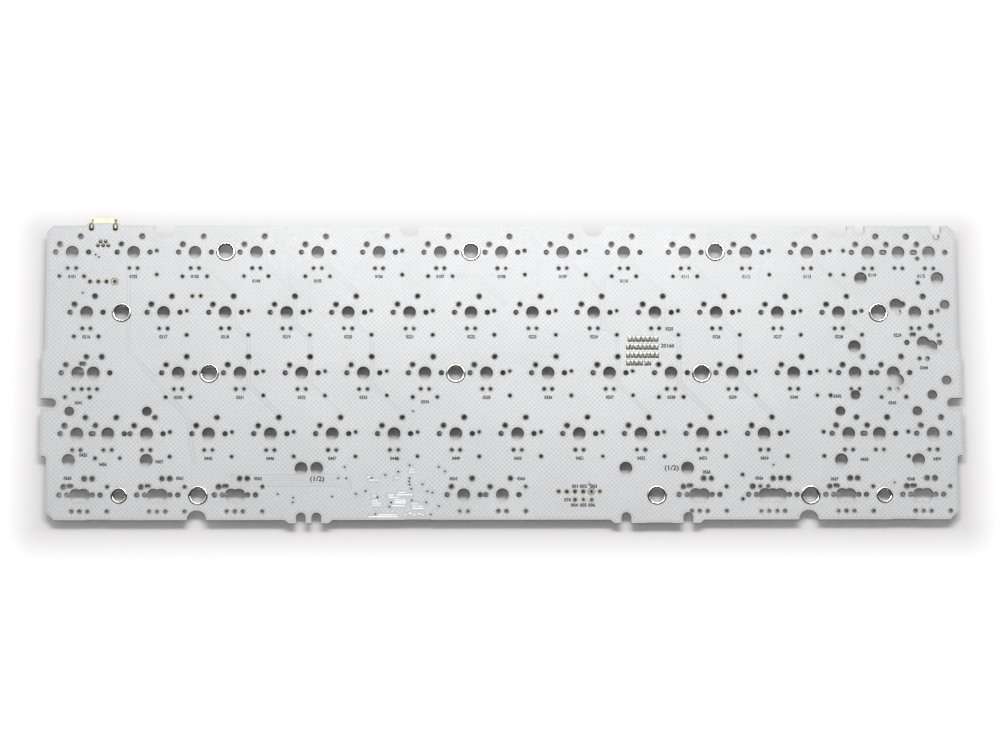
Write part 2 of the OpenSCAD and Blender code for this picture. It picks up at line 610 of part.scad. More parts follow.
// The controller, a flat square package with leads on four sides.
mcu_dot_in = 1.6;
mcu_dot_r = 0.5;
mcu_dot_h = 0.08;
module at_mcu() under() translate([mcu_u * u, mcu_v * u, 0]) children();
module mcu_side() { d = mcu_draft; h = mcu_t / 2; w = mcu_w / 2;
    translate([0, mcu_gap]) polygon([[-w + d, 0], [w - d, 0], [w, h], [w - d, 2 * h], [-w + d, 2 * h], [-w, h]]); }
module mcu_body() color("dimgrey") at_mcu() difference() {
    intersection() {
        translate([0, mcu_w / 2, 0]) rotate([90, 0, 0]) linear_extrude(height = mcu_w) mcu_side();
        rotate(90) translate([0, mcu_w / 2, 0]) rotate([90, 0, 0]) linear_extrude(height = mcu_w) mcu_side();
    }
    translate([-mcu_w / 2, -mcu_w / 2, -1]) rotate(45) translate([-mcu_corner, -mcu_corner, 0]) cube([2 * mcu_corner, 2 * mcu_corner, mcu_t + 3]);
    translate([-mcu_w / 2 + mcu_dot_in, -mcu_w / 2 + mcu_dot_in, mcu_gap + mcu_t - mcu_dot_h]) cylinder(r = mcu_dot_r, h = 1);
}
module mcu_lead() {
    t = mcu_lead_t; m = mcu_gap + mcu_t / 2; f = mcu_foot; r = mcu_reach;
    rotate([90, 0, 0]) linear_extrude(height = mcu_lead_w, center = true)
        polygon([[0, m - t / 2], [r - f - 0.2, m - t / 2], [r - f, 0], [r, 0], [r, t], [r - f + 0.1, t], [r - f - 0.1, m + t / 2], [0, m + t / 2]]);
}
module mcu_leads() color("silver") at_mcu() for (a = [0:3]) rotate(90 * a) for (i = [-5:5]) translate([mcu_w / 2, i * mcu_pitch, 0]) mcu_lead();

// The crystal and the chip parts, as [key units from the left, key units from the rear, turned].
xtal = [4.92, 4.36];
caps = [[5.28, 4.22, 1], [5.28, 4.51, 1], [5.45, 3.98, 0], [5.87, 3.98, 0], [6.05, 4.22, 1], [6.05, 4.5, 1], [5.66, 4.75, 0], [4.92, 4.6, 0]];
ress = [[1.06, 0.62, 1], [1.16, 0.62, 1], [6.3, 4.36, 1]];
fuse_at = [1.3, 0.22];

module crystal_tray() color("tan") under() translate([xtal[0] * u - xtal_l / 2, xtal[1] * u - xtal_w / 2, 0]) cube([xtal_l, xtal_w, xtal_h]);
module crystal_lid() color("silver") under() translate([xtal[0] * u - xtal_l / 2 + xtal_rim, xtal[1] * u - xtal_w / 2 + xtal_rim, xtal_h]) cube([xtal_l - 2 * xtal_rim, xtal_w - 2 * xtal_rim, xtal_lid_h]);
module chip_body(l, w, h, e) translate([-l / 2 + e, -w / 2, 0]) cube([l - 2 * e, w, h]);
module chip_caps(l, w, h, e) for (s = [0, 1]) mirror([s, 0, 0]) translate([l / 2 - e, -w / 2, 0]) cube([e, w, h]);
module at_chips(list) under() for (c = list) translate([c[0] * u, c[1] * u, 0]) rotate(90 * c[2]) children();
module capacitors() color("tan") at_chips(caps) chip_body(chip_l, chip_w, chip_h, chip_end);
module resistors() color("dimgrey") at_chips(ress) chip_body(chip_l, chip_w, chip_h * 0.7, chip_end);
module chip_ends() color("silver") { at_chips(caps) chip_caps(chip_l, chip_w, chip_h, chip_end); at_chips(ress) chip_caps(chip_l, chip_w, chip_h * 0.7, chip_end); }
module fuse() color("green") at_chips([[fuse_at[0], fuse_at[1], 0]]) chip_body(fuse_l, fuse_w, fuse_h, chip_end);
module fuse_ends() color("silver") at_chips([[fuse_at[0], fuse_at[1], 0]]) chip_caps(fuse_l, fuse_w, fuse_h, chip_end);

board();
mount_rings();
switch_lands();
led_lands();
diode_lands();
header_lands();
usb_shell();
usb_insert();
usb_contacts();
usb_solder();
mcu_body();
mcu_leads();
crystal_tray();
crystal_lid();
capacitors();
resistors();
chip_ends();
fuse();
fuse_ends();
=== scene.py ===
"""Dresses the bare keyboard circuit board in its real finishes: white solder mask over
copper, tinned holes, printed figures, the plated socket and the parts on the underside."""

import math

import bmesh
import bpy
import numpy as np
from mathutils import Matrix, Vector, kdtree
from mathutils.bvhtree import BVHTree


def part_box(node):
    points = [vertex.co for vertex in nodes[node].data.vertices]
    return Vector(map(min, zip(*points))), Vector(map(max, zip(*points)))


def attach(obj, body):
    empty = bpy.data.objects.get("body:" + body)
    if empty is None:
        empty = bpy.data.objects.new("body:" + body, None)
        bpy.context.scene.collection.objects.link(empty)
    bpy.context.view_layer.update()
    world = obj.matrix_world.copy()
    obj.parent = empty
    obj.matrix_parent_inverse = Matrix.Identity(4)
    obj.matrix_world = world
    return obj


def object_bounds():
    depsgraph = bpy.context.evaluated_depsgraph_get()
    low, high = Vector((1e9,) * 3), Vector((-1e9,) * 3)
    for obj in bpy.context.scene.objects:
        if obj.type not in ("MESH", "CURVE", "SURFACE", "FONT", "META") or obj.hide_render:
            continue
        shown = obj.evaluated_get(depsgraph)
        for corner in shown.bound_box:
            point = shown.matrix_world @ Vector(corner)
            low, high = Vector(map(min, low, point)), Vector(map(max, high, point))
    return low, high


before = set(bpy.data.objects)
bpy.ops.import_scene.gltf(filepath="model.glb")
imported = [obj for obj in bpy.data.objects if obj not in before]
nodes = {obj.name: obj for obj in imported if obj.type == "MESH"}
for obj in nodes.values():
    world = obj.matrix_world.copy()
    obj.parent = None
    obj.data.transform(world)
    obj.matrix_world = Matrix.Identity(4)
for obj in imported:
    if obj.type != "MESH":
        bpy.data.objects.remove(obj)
cad_lo, cad_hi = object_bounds()

# ---- Laminate ------------------------------------------------------------------------
# The board is 1.6 mm glass cloth in epoxy, drilled, routed and snapped from its panel.
# Both faces carry screened white solder mask; the cut edges and bores show bare laminate.
# Sizes are in millimetres, and MM turns them to the frame's metres.
MM = 0.001
KEY = 19.05
board_lo, board_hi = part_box("board")
FACE, UNDERSIDE = board_hi.z, board_lo.z
# The board's left side and the end of its socket tongue lie a little inside the key field.
LEFT_INSET, REAR_INSET = 0.6, 0.1
MASK_DEPTH = 0.03
MERGE = 1e-7


def place(x, y):
    """Metres in the frame for millimetres from the rear left corner of the key field."""
    return board_lo.x + (x - LEFT_INSET) * MM, board_hi.y + (REAR_INSET - y) * MM


def colour(code):
    """An sRGB hex colour as linear RGBA."""
    parts = [int(code[i : i + 2], 16) / 255 for i in (1, 3, 5)]
    return [p / 12.92 if p <= 0.04045 else ((p + 0.055) / 1.055) ** 2.4 for p in parts] + [1]


def add(tree, kind, plug=None, **settings):
    """Adds a node; plug gives each input a value or another node's output."""
    made = tree.nodes.new(kind)
    for key, value in settings.items():
        setattr(made, key, value)
    for key, value in (plug or {}).items():
        if isinstance(value, bpy.types.NodeSocket):
            tree.links.new(value, made.inputs[key])
        else:
            made.inputs[key].default_value = value
    return made


def material(name):
    """A new material: its node tree, its shader and the Object coordinates."""
    made = bpy.data.materials.new(name)
    made.use_nodes = True
    tree = made.node_tree
    tree.nodes.clear()
    shader = add(tree, "ShaderNodeBsdfPrincipled")
    add(tree, "ShaderNodeOutputMaterial", {0: shader.outputs[0]})
    return made, tree, shader, add(tree, "ShaderNodeTexCoord").outputs["Object"]


def grain(tree, where, size_mm, detail=2.0, stretch=None):
    """Noise whose lumps are about size_mm across."""
    if stretch:
        where = add(tree, "ShaderNodeMapping", {"Vector": where, "Scale": stretch}).outputs[0]
    sizes = {"Vector": where, "Scale": 1 / (size_mm * MM), "Detail": detail}
    return add(tree, "ShaderNodeTexNoise", sizes).outputs[0]


def between(tree, amount, low, high, a=0.3, b=0.7):
    """Blends two colours as amount goes from a to b."""
    share = add(tree, "ShaderNodeMapRange", {0: amount, 1: a, 2: b}).outputs[0]
    return add(tree, "ShaderNodeMix", {0: share, 6: low, 7: high}, data_type="RGBA").outputs[2]


def levels(tree, amount, low, high, a=0.3, b=0.7):
    """Turns amount, from a to b, into a number from low to high."""
    return add(tree, "ShaderNodeMapRange", {0: amount, 1: a, 2: b, 3: low, 4: high}).outputs[0]


def relief(tree, height, depth_mm, strength=1.0):
    """Bump of the given depth."""
    sizes = {"Height": height, "Distance": depth_mm * MM, "Strength": strength}
    return add(tree, "ShaderNodeBump", sizes).outputs[0]


def dress(node, finish):
    """Gives a CAD node its finish."""
    nodes[node].data.materials.clear()
    nodes[node].data.materials.append(finish)


def mask_finish(name, low, high, gloss):
    """White solder mask: epoxy ink screened on and cured, semi-gloss, with a faint orange
    peel and slight clouds. Below its skin the cut laminate shows straw-coloured cloth layers."""
    made, tree, shader, where = material(name)
    cloud = grain(tree, where, 24)
    mask = between(tree, cloud, colour(low), colour(high))
    peel = grain(tree, where, 0.6, 3)
    # Cloth layers are 0.18 mm thick, drawn through the edge's height.
    layers = grain(tree, where, 2.4, 3, stretch=(1, 1, 13))
    bare = between(tree, layers, colour("#5d5138"), colour("#978a64"))
    height = add(tree, "ShaderNodeSeparateXYZ", {0: where}).outputs[2]
    middle = (FACE + UNDERSIDE) / 2
    off = add(tree, "ShaderNodeMath", {0: height, 1: middle}, operation="SUBTRACT").outputs[0]
    off = add(tree, "ShaderNodeMath", {0: off}, operation="ABSOLUTE").outputs[0]
    depth = (FACE - UNDERSIDE) / 2 - MASK_DEPTH * MM
    skin = add(tree, "ShaderNodeMath", {0: off, 1: depth}, operation="GREATER_THAN").outputs[0]
    both = add(tree, "ShaderNodeMix", {0: skin, 6: bare, 7: mask}, data_type="RGBA").outputs[2]
    tree.links.new(both, shader.inputs["Base Color"])
    shine = levels(tree, peel, gloss, gloss + 0.08)
    rough = add(tree, "ShaderNodeMix", {0: skin, 2: 0.75, 3: shine}).outputs[0]
    tree.links.new(rough, shader.inputs["Roughness"])
    tree.links.new(relief(tree, peel, 0.004, 0.5), shader.inputs["Normal"])
    return made


dress("board", mask_finish("solder_mask_on_laminate", "#ced1d2", "#d5d7d8", 0.22))

# ---- Copper under the mask -----------------------------------------------------------
# The ground copper is etched as a 45 degree net on a 40 thousandths pitch, kept clear of
# bores, edges and tracks. The mask drapes over it, so the net stands up as low ribs.
NET_PITCH = 1.016
NET_WIDTH = 0.46
# Where one line of each direction runs, from the rear left corner of the key field.
NET_START = {1: 0.048, -1: 0.146}
RIB_RISE = 0.014
# The crest is this share of the foot's width, and the foot lies a little below the face.
RIB_CREST = 0.15
RIB_SINK = 0.01
CREST_STEP = 0.003
BORE_GAP = 0.4
EDGE_GAP = 0.8
TRACK_WIDTH = 0.3
TRACK_GAP = 0.35
TRACK_BORE_GAP = 0.1
FAN_WIDTH = 0.55
FAN_RISE = 0.024
# Steps at which rims are sampled and lines are tried. A stretch of SHORTEST steps or fewer
# is left out.
RIM_STEP = 0.2
LINE_STEP = 0.25
SHORTEST = 2

drilled = bmesh.new()
drilled.from_mesh(nodes["board"].data)
bmesh.ops.remove_doubles(drilled, verts=drilled.verts, dist=MERGE)
board_shape = BVHTree.FromBMesh(drilled)


def rims(level):
    """Every closed rim of the board's face at that height, as plan points in millimetres."""
    follow = {}
    for e in drilled.edges:
        a, b = e.verts
        away = max(abs(a.co.z - level), abs(b.co.z - level))
        if away > 1e-6 or len(e.link_faces) != 2:
            continue
        if sum(abs(f.normal.z) > 0.5 for f in e.link_faces) == 1:
            follow.setdefault(a.index, []).append(b.index)
            follow.setdefault(b.index, []).append(a.index)
    drilled.verts.ensure_lookup_table()
    found = []
    while follow:
        at = next(iter(follow))
        ring = []
        while at in follow:
            ring.append(at)
            ahead = [n for n in follow.pop(at) if n in follow]
            if not ahead:
                break
            at = ahead[0]
        found.append(np.array([drilled.verts[i].co[:2] for i in ring]) / MM)
    return found


face_rims = rims(FACE)
outline_rim = max(face_rims, key=lambda r: np.ptp(r[:, 0]))
bore_rims = [r for r in face_rims if r is not outline_rim]


def spread(points, step, closed=True):
    """More points along a line, no further apart than step."""
    ends = np.roll(points, -1, axis=0) if closed else points[1:]
    out = []
    for p, q in zip(points, ends):
        n = max(1, math.ceil(np.hypot(*(q - p)) / step))
        out += [p + (q - p) * i / n for i in range(n)]
    return out


def nearby(points):
    """A tree that finds the nearest of those plan points."""
    tree = kdtree.KDTree(len(points))
    for i, p in enumerate(points):
        tree.insert((p[0], p[1], 0), i)
    tree.balance()
    return tree


edge_tree = nearby(spread(outline_rim, RIM_STEP))
bore_tree = nearby([p for r in bore_rims for p in spread(r, RIM_STEP)])


def frame_mm(x, y):
    """The same as place, in millimetres."""
    a, b = place(x, y)
    return np.array([a / MM, b / MM])


# Column lines start beside a key's middle post and lean across to the next row's key.
POST_SIDE = 2.62
tracks = []
for k in (2.5, 3.5, 4.5, 8.5, 9.5, 10.5, 12.5):
    x = k * KEY + POST_SIDE
    tracks.append([(x, 5.6), (x, 12.9), (x + 9.4, 22.3)])
for k in (3, 4, 5, 9, 10, 11, 13):
    x = k * KEY + POST_SIDE
    tracks.append([(x, 24.8), (x, 32.2), (x + 4.7, 36.9), (x + 4.7, 41.4)])
for k in (3.25, 4.25, 5.25, 9.25, 10.25, 11.25):
    x = k * KEY + POST_SIDE
    tracks.append([(x, 43.8), (x, 51.2), (x + 9.4, 60.6)])
# The bus at the left, three lone lines, and the four lines that lead to the crystal.
tracks += [
    [(27.2, 12), (27.2, 40), (46, 62), (48, 76)],
    [(124, 17), (135, 17), (144, 26)],
    [(152, 2.5), (154.6, 9), (154.6, 20)],
    [(174.4, 18), (174.4, 34)],
]
tracks += [[(60, 80 + i), (92, 80 + i), (96, 82 + i * 0.8)] for i in (0, 0.8, 1.6, 2.4)]
# Short level lines over the controller: left end, right end, and how far forward.
fan = [
    (110.7, 113.0, 85.0), (107.6, 109.4, 85.8), (110.3, 115.2, 85.8), (107.8, 111.0, 86.6),
    (109.6, 113.0, 87.4), (109.4, 113.1, 88.0), (109.4, 113.1, 88.3), (108.9, 113.0, 89.2),
    (102.9, 104.3, 86.1), (102.7, 104.6, 87.6), (102.7, 105.7, 88.3), (102.7, 105.6, 89.0),
    (115.0, 117.0, 88.5), (115.0, 118.4, 89.3), (115.2, 119.0, 90.0), (104.6, 110.4, 92.0),
    (101.6, 110.9, 92.6), (101.6, 110.9, 92.85), (112.7, 113.4, 91.9), (114.0, 115.0, 91.5),
    (115.3, 116.3, 92.0), (116.8, 117.8, 91.7), (118.0, 118.8, 92.0), (101.8, 104.8, 81.2),
    (101.3, 103.0, 80.2), (109.8, 111.2, 80.5), (114.2, 116.0, 78.7), (114.4, 115.8, 77.9),
]
fan = [[frame_mm(a, y), frame_mm(b, y)] for a, b, y in fan]
tracks = [[frame_mm(*p) for p in t] for t in tracks]
track_tree = nearby([p for t in tracks + fan for p in spread(np.array(t), RIM_STEP, closed=False)])
NET_TRACK_GAP = TRACK_GAP + TRACK_WIDTH / 2 + NET_WIDTH / 2


def clear(x, y, level, bore_gap=BORE_GAP, track_gap=NET_TRACK_GAP):
    """Whether copper may lie at that point of a face."""
    spot = (x, y, 0)
    if bore_tree.find(spot)[2] < bore_gap + NET_WIDTH / 2:
        return False
    if edge_tree.find(spot)[2] < EDGE_GAP:
        return False
    if track_gap and track_tree.find(spot)[2] < track_gap:
        return False
    # A short look down at the face tells laminate from a gap in it.
    up = 1 if level == FACE else -1
    eye = Vector((x * MM, y * MM, level + up * MM))
    return board_shape.ray_cast(eye, Vector((0, 0, -up)), 1.5 * MM)[0] is not None


def runs_along(p, q, level, **gaps):
    """The straight stretches between p and q where copper may lie."""
    n = max(2, math.ceil(np.hypot(*(q - p)) / LINE_STEP))
    at = p + (q - p) * (np.arange(n + 1) / n)[:, None]
    free = np.array([clear(a[0], a[1], level, **gaps) for a in at])
    change = np.flatnonzero(np.diff(np.concatenate([[0], free, [0]])))
    starts, stops = change[::2], change[1::2]
    return [(at[i], at[j - 1]) for i, j in zip(starts, stops) if j - i > SHORTEST]


def net_runs(level, lean):
    """One direction of the net over the whole face."""
    lo, hi = outline_rim.min(0), outline_rim.max(0)
    turn = math.sqrt(2) * NET_PITCH
    start = NET_START[lean]
    first = frame_mm(lean * start, start)
    out = []
    # Lines run as y = lean * x + c.
    c0 = first[1] - lean * first[0]
    low, high = (lo[1] - hi[0], hi[1] - lo[0]) if lean > 0 else (lo[1] + lo[0], hi[1] + hi[0])
    for i in range(math.ceil((low - c0) / turn), math.floor((high - c0) / turn) + 1):
        c = c0 + i * turn
        ends = sorted([(lo[1] - c) / lean, (hi[1] - c) / lean])
        a, b = max(lo[0], ends[0]), min(hi[0], ends[1])
        if b - a > 1:
            ends = np.array([[a, lean * a + c], [b, lean * b + c]])
            out += runs_along(*ends, level)
    return out


def recipe(name, *sizes):
    """A geometry tree that takes a mesh, those named sizes and a finish."""
    tree = bpy.data.node_groups.new(name, "GeometryNodeTree")
    tree.interface.new_socket("Mesh", in_out="INPUT", socket_type="NodeSocketGeometry")
    for size in sizes:
        tree.interface.new_socket(size, in_out="INPUT", socket_type="NodeSocketFloat")
    tree.interface.new_socket("Finish", in_out="INPUT", socket_type="NodeSocketMaterial")
    tree.interface.new_socket("Mesh", in_out="OUTPUT", socket_type="NodeSocketGeometry")
    return tree, add(tree, "NodeGroupInput").outputs


def served(tree, given, shape):
    """Ends a tree: real geometry with its finish."""
    real = add(tree, "GeometryNodeRealizeInstances", {0: shape}).outputs[0]
    dressed = {"Geometry": real, "Material": given["Finish"]}
    done = add(tree, "GeometryNodeSetMaterial", dressed).outputs[0]
    add(tree, "NodeGroupOutput", {0: done})


def piece(name, mesh, finish, smooth=None):
    """Puts a finished mesh in the scene as a piece that rides on the board."""
    made = bpy.data.objects.new(name, mesh)
    bpy.context.scene.collection.objects.link(made)
    mesh.materials.clear()
    mesh.materials.append(finish)
    if smooth is not None:
        mesh.shade_smooth()
        mesh.set_sharp_from_angle(angle=math.radians(smooth))
    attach(made, "root")
    return made


def grow(name, seed, tree, finish, slot, smooth=None, **sizes):
    """Runs a tree on a seed mesh with sizes in millimetres and keeps the plain mesh it gives."""
    start = bpy.data.objects.new(name + "_seed", seed)
    bpy.context.scene.collection.objects.link(start)
    run = start.modifiers.new("make", "NODES")
    run.node_group = tree
    for socket in tree.interface.items_tree:
        if socket.in_out == "INPUT" and socket.name in sizes:
            run[socket.identifier] = sizes[socket.name] * MM
        elif socket.in_out == "INPUT" and socket.name == "Finish":
            run[socket.identifier] = finish
    grown = start.evaluated_get(bpy.context.evaluated_depsgraph_get())
    mesh = bpy.data.meshes.new_from_object(grown)
    bpy.data.objects.remove(start)
    return piece(name, mesh, finish, smooth)


def paths(level, *groups):
    """A seed mesh of bare lines, one chain of points for each run; each group of runs comes
    with its lift above the level."""
    points, edges = [], []
    for runs, lift in groups:
        for run in runs:
            n = len(points)
            edges += [(n + i, n + i + 1) for i in range(len(run) - 1)]
            points += [(p[0] * MM, p[1] * MM, level + lift * MM) for p in run]
    seed = bpy.data.meshes.new("paths")
    seed.from_pydata(points, edges, [])
    return seed


# A bar of trapezoid section along each line; Lower and Upper are its widths.
BARS, given = recipe("bars_along_lines", "Lower", "Upper", "Height")
line = add(BARS, "GeometryNodeMeshToCurve", {"Mesh": given["Mesh"]}).outputs[0]
line = add(BARS, "GeometryNodeSetCurveNormal", {"Curve": line}, mode="Z_UP").outputs[0]
sizes = {"Bottom Width": given["Upper"], "Top Width": given["Lower"], "Offset": 0.0,
         "Height": given["Height"]}
section = add(BARS, "GeometryNodeCurvePrimitiveQuadrilateral", sizes, mode="TRAPEZOID").outputs[0]
sizes = {"Curve": line, "Profile Curve": section, "Fill Caps": True}
served(BARS, given, add(BARS, "GeometryNodeCurveToMesh", sizes).outputs[0])


def ribs(name, level, width, rise, finish, *directions):
    """Low ribs with sloped shoulders, standing on a face of the board. Each direction lies
    a few thousandths lower than the one before, so that no two crests share a plane."""
    up = 1 if level == FACE else -1
    foot, crest = (width, width * RIB_CREST)[::up]
    lift = (rise - RIB_SINK) / 2
    groups = [(runs, up * (lift - i * CREST_STEP)) for i, runs in enumerate(directions)]
    grow(name, paths(level, *groups), BARS, finish, "laminate", 40,
         Lower=foot, Upper=crest, Height=rise + RIB_SINK)


def track_runs(lines, level):
    """The stretches of those lines that no bore or edge interrupts."""
    legs = [leg for line in lines for leg in zip(line, line[1:])]
    gaps = {"bore_gap": TRACK_BORE_GAP, "track_gap": 0}
    return [r for p, q in legs for r in runs_along(p, q, level, **gaps)]


MASK_ON_COPPER = mask_finish("solder_mask_on_copper", "#dfe1e3", "#e6e8e9", 0.2)
for face, level in (("face", FACE), ("underside", UNDERSIDE)):
    ribs("copper_net_" + face, level, NET_WIDTH, RIB_RISE, MASK_ON_COPPER,
         net_runs(level, 1), net_runs(level, -1))
    drawn = track_runs(tracks, level)
    ribs("tracks_" + face, level, TRACK_WIDTH, RIB_RISE, MASK_ON_COPPER, drawn[::2], drawn[1::2])
# Over the controller the mask is shinier, and its wide low ridges glint; its lighter tone
# there is painted highlight.
PAINTED_HIGHLIGHT_MASK_ON_FAN = mask_finish("solder_mask_on_tracks_painted_highlight", "#eceeef", "#f2f3f4", 0.1)
ribs("fan_tracks_face", FACE, FAN_WIDTH, FAN_RISE, PAINTED_HIGHLIGHT_MASK_ON_FAN, track_runs(fan, FACE))

# ---- Mount rings and lands -----------------------------------------------------------
# Copper rings round every plated hole, dipped in molten tin and blown level, so the tin
# lies a little uneven. The rings of the case holes stand proud and shine like beads.


def tin_finish(name, tone, dark, rough, lump_mm, lump_deep):
    """Levelled tin: bright and faintly clouded, with soft waves where it froze."""
    made, tree, shader, where = material(name)
    cloud = grain(tree, where, 2.5)
    tree.links.new(between(tree, cloud, colour(dark), colour(tone)), shader.inputs["Base Color"])
    shader.inputs["Metallic"].default_value = 1
    tree.links.new(levels(tree, cloud, rough * 1.5, rough), shader.inputs["Roughness"])
    tree.links.new(relief(tree, grain(tree, where, lump_mm), lump_deep), shader.inputs["Normal"])
    return made


# Thick tin on the rings stays bright. Thin tin on the lands is dull, and its grey tone is
# painted shade, standing in for the dark surroundings it would mirror.
RING_TIN = tin_finish("levelled_tin_ring", "#dedcd6", "#c9c6be", 0.08, 1.4, 0.01)
SHADED_LAND_TIN = tin_finish("dull_shaded_tin_land", "#a3a5a5", "#979999", 0.5, 0.6, 0.003)
dress("mount_rings", RING_TIN)
for name in ("switch_lands", "led_lands", "diode_lands"):
    dress(name, SHADED_LAND_TIN)
# The header's lands keep a thin, dull gold flash, its tone painted grey as shade like the
# tin lands.
dress("header_lands", tin_finish("shaded_gold_flashed_land", "#a8a28d", "#98917b", 0.5, 0.6, 0.004))

# The tin stands on each case-hole ring as a rounded bead, bright where it leans to the rear.
RING_BEADS, given = recipe("beads_round_rings", "Width", "Height")
line = add(RING_BEADS, "GeometryNodeMeshToCurve", {"Mesh": given["Mesh"]}).outputs[0]
line = add(RING_BEADS, "GeometryNodeSetCurveNormal", {"Curve": line}, mode="Z_UP").outputs[0]
sizes = {"Resolution": 12, "Radius": 0.5}
oval = add(RING_BEADS, "GeometryNodeCurvePrimitiveCircle", sizes).outputs[0]
sizes = {0: given["Width"], 1: given["Height"], 2: 1.0}
flat = add(RING_BEADS, "ShaderNodeCombineXYZ", sizes).outputs[0]
oval = add(RING_BEADS, "GeometryNodeTransform", {"Geometry": oval, "Scale": flat}).outputs[0]
sizes = {"Curve": line, "Profile Curve": oval}
served(RING_BEADS, given, add(RING_BEADS, "GeometryNodeCurveToMesh", sizes).outputs[0])


def islands(node):
    """The lowest and highest corners of each separate solid of a node."""
    loose = bmesh.new()
    loose.from_mesh(nodes[node].data)
    bmesh.ops.remove_doubles(loose, verts=loose.verts, dist=MERGE)
    seen, found = set(), []
    for v in loose.verts:
        if v.index in seen:
            continue
        seen.add(v.index)
        rest, group = [v], []
        while rest:
            at = rest.pop()
            group.append(at.co[:])
            for e in at.link_edges:
                b = e.other_vert(at)
                if b.index not in seen:
                    seen.add(b.index)
                    rest.append(b)
        group = np.array(group)
        found.append((group.min(0), group.max(0)))
    loose.free()
    return found


BEAD_WIDTH = 0.9
BEAD_TALL = 0.62
# How deep a bead's middle lies in the ring.
BEAD_DEEP = 0.1
RING_STEPS = 40
points, edges = [], []
for lo, hi in islands("mount_rings"):
    mid, far = (lo + hi) / 2, (hi[0] - lo[0]) / 2 - BEAD_WIDTH / 2 * MM
    for level in (lo[2] + BEAD_DEEP * MM, hi[2] - BEAD_DEEP * MM):
        start = len(points)
        for i in range(RING_STEPS):
            a = math.tau * i / RING_STEPS
            points.append((mid[0] + far * math.cos(a), mid[1] + far * math.sin(a), level))
            edges.append((start + i, start + (i + 1) % RING_STEPS))
ring_paths = bpy.data.meshes.new("ring_paths")
ring_paths.from_pydata(points, edges, [])
grow("mount_ring_beads", ring_paths, RING_BEADS, RING_TIN, "tin", 180,
     Width=BEAD_WIDTH, Height=BEAD_TALL)

# ---- Plated bores --------------------------------------------------------------------
# Each soldered hole is copper plated right through and tinned, dull inside. The tin in the
# bores is painted dark as shade, so that a bore looks nearly black from above.
SHADED_BARREL_TIN = tin_finish("shaded_tin_barrel", "#8f8674", "#5a5041", 0.35, 0.4, 0.02)
BARREL_WALL = 0.02


def seeds(centres, spans, lean=0.0):
    """A seed mesh of points, each with the size of what grows there, in metres, and how far
    its front leans down."""
    seed = bpy.data.meshes.new("points")
    seed.from_pydata([tuple(c) for c in centres], [], [])
    leans = [(math.radians(lean), 0.0, 0.0)] * len(centres)
    for name, values in (("span", spans), ("lean", leans)):
        kept = seed.attributes.new(name, "FLOAT_VECTOR", "POINT").data
        kept.foreach_set("vector", np.array(values, float).ravel())
    return seed


def carried(tree, name):
    """A vector that each seed point carries."""
    kind = "GeometryNodeInputNamedAttribute"
    return add(tree, kind, {"Name": name}, data_type="FLOAT_VECTOR").outputs[0]


# A thin tube as long as the board is thick. It is one wide over all, and each point's span
# scales it to its bore.
BARRELS, given = recipe("tubes_on_points", "Length")
sizes = {"Resolution": 12, "Radius": (1 - BARREL_WALL) / 2}
ring = add(BARRELS, "GeometryNodeCurvePrimitiveCircle", sizes).outputs[0]
ring = add(BARRELS, "GeometryNodeSetCurveNormal", {"Curve": ring}, mode="Z_UP").outputs[0]
sizes = {"Width": BARREL_WALL, "Height": given["Length"]}
wall = add(BARRELS, "GeometryNodeCurvePrimitiveQuadrilateral", sizes).outputs[0]
tube = add(BARRELS, "GeometryNodeCurveToMesh", {"Curve": ring, "Profile Curve": wall}).outputs[0]
sizes = {"Points": given["Mesh"], "Instance": tube, "Scale": carried(BARRELS, "span")}
served(BARRELS, given, add(BARRELS, "GeometryNodeInstanceOnPoints", sizes).outputs[0])

bore_middles = nearby([(r.min(0) + r.max(0)) / 2 for r in bore_rims])
middles, spans = [], []
for node in ("switch_lands", "led_lands", "diode_lands", "header_lands"):
    for lo, hi in islands(node):
        if hi[2] < FACE:
            continue
        mid = (lo + hi) / 2
        spot, i, far = bore_middles.find((mid[0] / MM, mid[1] / MM, 0))
        wide = np.ptp(bore_rims[i], axis=0) * MM
        # A land lies round the middle of its own bore.
        if far < 0.1:
            middles.append((mid[0], mid[1], (FACE + UNDERSIDE) / 2))
            spans.append((wide[0], wide[1], 1))
grow("bore_plating", seeds(middles, spans), BARRELS, SHADED_BARREL_TIN, "tin", 40,
     Length=(FACE - UNDERSIDE) / MM)

# ---- Printed figures -----------------------------------------------------------------
# A number under every key place and small figures by the header, screened in dark grey
# epoxy ink; plain rings mark two aiming points.
INK_RISE = 0.05
INK_TALL = 1.15
# How much the ink creeps outwards, alike on small and large figures.
INK_SPREAD = 0.045


def ink_finish(name, tone, thin):
    """Screened ink: matt, with the copper net showing through as thin patches."""
    made, tree, shader, where = material(name)
    patch = grain(tree, where, 0.5, 3)
    tree.links.new(between(tree, patch, colour(thin), colour(tone)), shader.inputs["Base Color"])
    tree.links.new(levels(tree, patch, 0.6, 0.75), shader.inputs["Roughness"])
    tree.links.new(relief(tree, patch, 0.004), shader.inputs["Normal"])
    return made


INK = ink_finish("dark_legend_ink", "#17181a", "#3c3e40")


